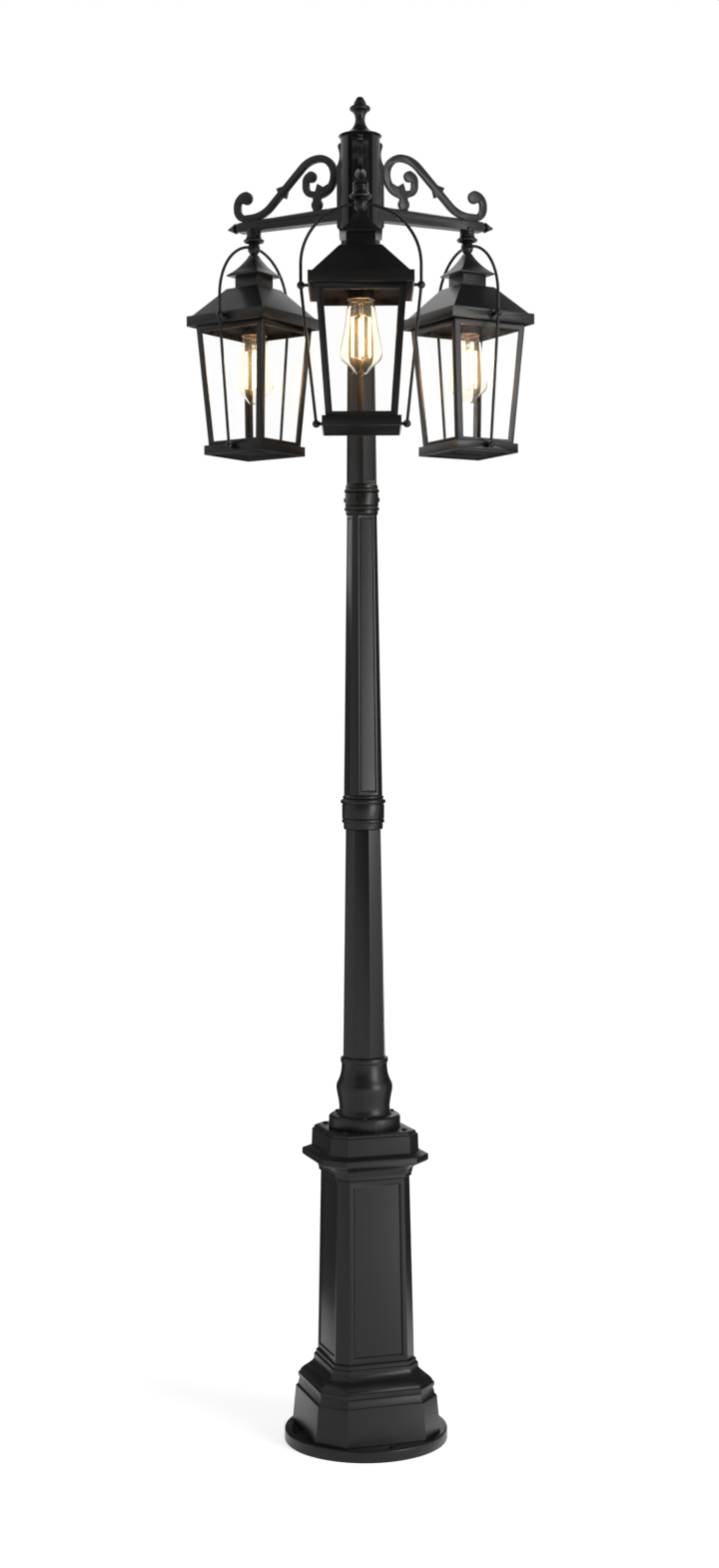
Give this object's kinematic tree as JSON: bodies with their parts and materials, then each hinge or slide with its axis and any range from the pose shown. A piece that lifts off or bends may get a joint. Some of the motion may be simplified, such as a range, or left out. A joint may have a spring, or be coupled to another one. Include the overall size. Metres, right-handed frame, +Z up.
{
  "type": "outdoor post light",
  "caption": "Tall outdoor post light: a stepped cast pedestal and tapered sectional pole with scrolled arms that carry swivelling glazed lanterns with filament bulbs.",
  "frame": {"origin": "centre of the base plate's underside, on the ground", "axes": "+Z up along the post, -Y towards the front arm, +X to the right seen from the front"},
  "size_m": [0.5695, 0.4935, 2.145],
  "materials": {
    "cast_black": "satin black powder coat",
    "lantern_black": "satin black powder coat",
    "black_steel": "satin black",
    "clear_glass": "clear",
    "holder_black": "matt",
    "bulb_clear": "clear, slightly warm",
    "bulb_brass": "bright",
    "filament_warm": "warm glowing sticks"
  },
  "bodies": {
    "post": {"base_plate": "cast_black", "pedestal_foot": "cast_black", "pedestal_shaft": "cast_black", "pedestal_cornice": "cast_black", "post_screws": "black_steel", "pole_flange": "cast_black", "lower_pole": "cast_black", "lower_collar": "cast_black", "middle_pole": "cast_black", "upper_collar": "cast_black", "upper_pole": "cast_black", "head_column": "cast_black", "head_cap": "cast_black", "top_finial": "cast_black", "arm_front": "cast_black", "arm_left": "cast_black", "arm_right": "cast_black", "hanger_bells": "cast_black"},
    "lantern_front": {"front_hanger": "lantern_black", "front_chimney_cap": "lantern_black", "front_roof": "lantern_black", "front_ceiling": "lantern_black", "front_cage": "lantern_black", "front_tray": "lantern_black", "front_bottom_pan": "lantern_black", "front_glass_panels": "clear_glass", "front_bail_rod": "black_steel", "front_fixings": "black_steel", "front_lamp_holder": "holder_black"},
    "bulb_front": {"front_bulb_glass": "bulb_clear", "front_bulb_cap": "bulb_brass", "front_filament": "filament_warm"},
    "lantern_left": {"left_hanger": "lantern_black", "left_chimney_cap": "lantern_black", "left_roof": "lantern_black", "left_ceiling": "lantern_black", "left_cage": "lantern_black", "left_tray": "lantern_black", "left_bottom_pan": "lantern_black", "left_glass_panels": "clear_glass", "left_bail_rod": "black_steel", "left_fixings": "black_steel", "left_lamp_holder": "holder_black"},
    "bulb_left": {"left_bulb_glass": "bulb_clear", "left_bulb_cap": "bulb_brass", "left_filament": "filament_warm"},
    "lantern_right": {"right_hanger": "lantern_black", "right_chimney_cap": "lantern_black", "right_roof": "lantern_black", "right_ceiling": "lantern_black", "right_cage": "lantern_black", "right_tray": "lantern_black", "right_bottom_pan": "lantern_black", "right_glass_panels": "clear_glass", "right_bail_rod": "black_steel", "right_fixings": "black_steel", "right_lamp_holder": "holder_black"},
    "bulb_right": {"right_bulb_glass": "bulb_clear", "right_bulb_cap": "bulb_brass", "right_filament": "filament_warm"}
  },
  "joints": [
    {"name": "front_lantern_swivel", "type": "hinge", "parent": "post", "child": "lantern_front", "pos_m": [0, -0.203, 1.961], "axis": [0, 0, 1], "range_deg": [-180, 180]},
    {"name": "front_bulb_unscrew", "type": "slide", "parent": "lantern_front", "child": "bulb_front", "axis": [0, 0, -1], "range_m": [0, 0.022]},
    {"name": "left_lantern_swivel", "type": "hinge", "parent": "post", "child": "lantern_left", "pos_m": [-0.1758, 0.1015, 1.961], "axis": [0, 0, 1], "range_deg": [-180, 180]},
    {"name": "left_bulb_unscrew", "type": "slide", "parent": "lantern_left", "child": "bulb_left", "axis": [0, 0, -1], "range_m": [0, 0.022]},
    {"name": "right_lantern_swivel", "type": "hinge", "parent": "post", "child": "lantern_right", "pos_m": [0.1758, 0.1015, 1.961], "axis": [0, 0, 1], "range_deg": [-180, 180]},
    {"name": "right_bulb_unscrew", "type": "slide", "parent": "lantern_right", "child": "bulb_right", "axis": [0, 0, -1], "range_m": [0, 0.022]}
  ]
}
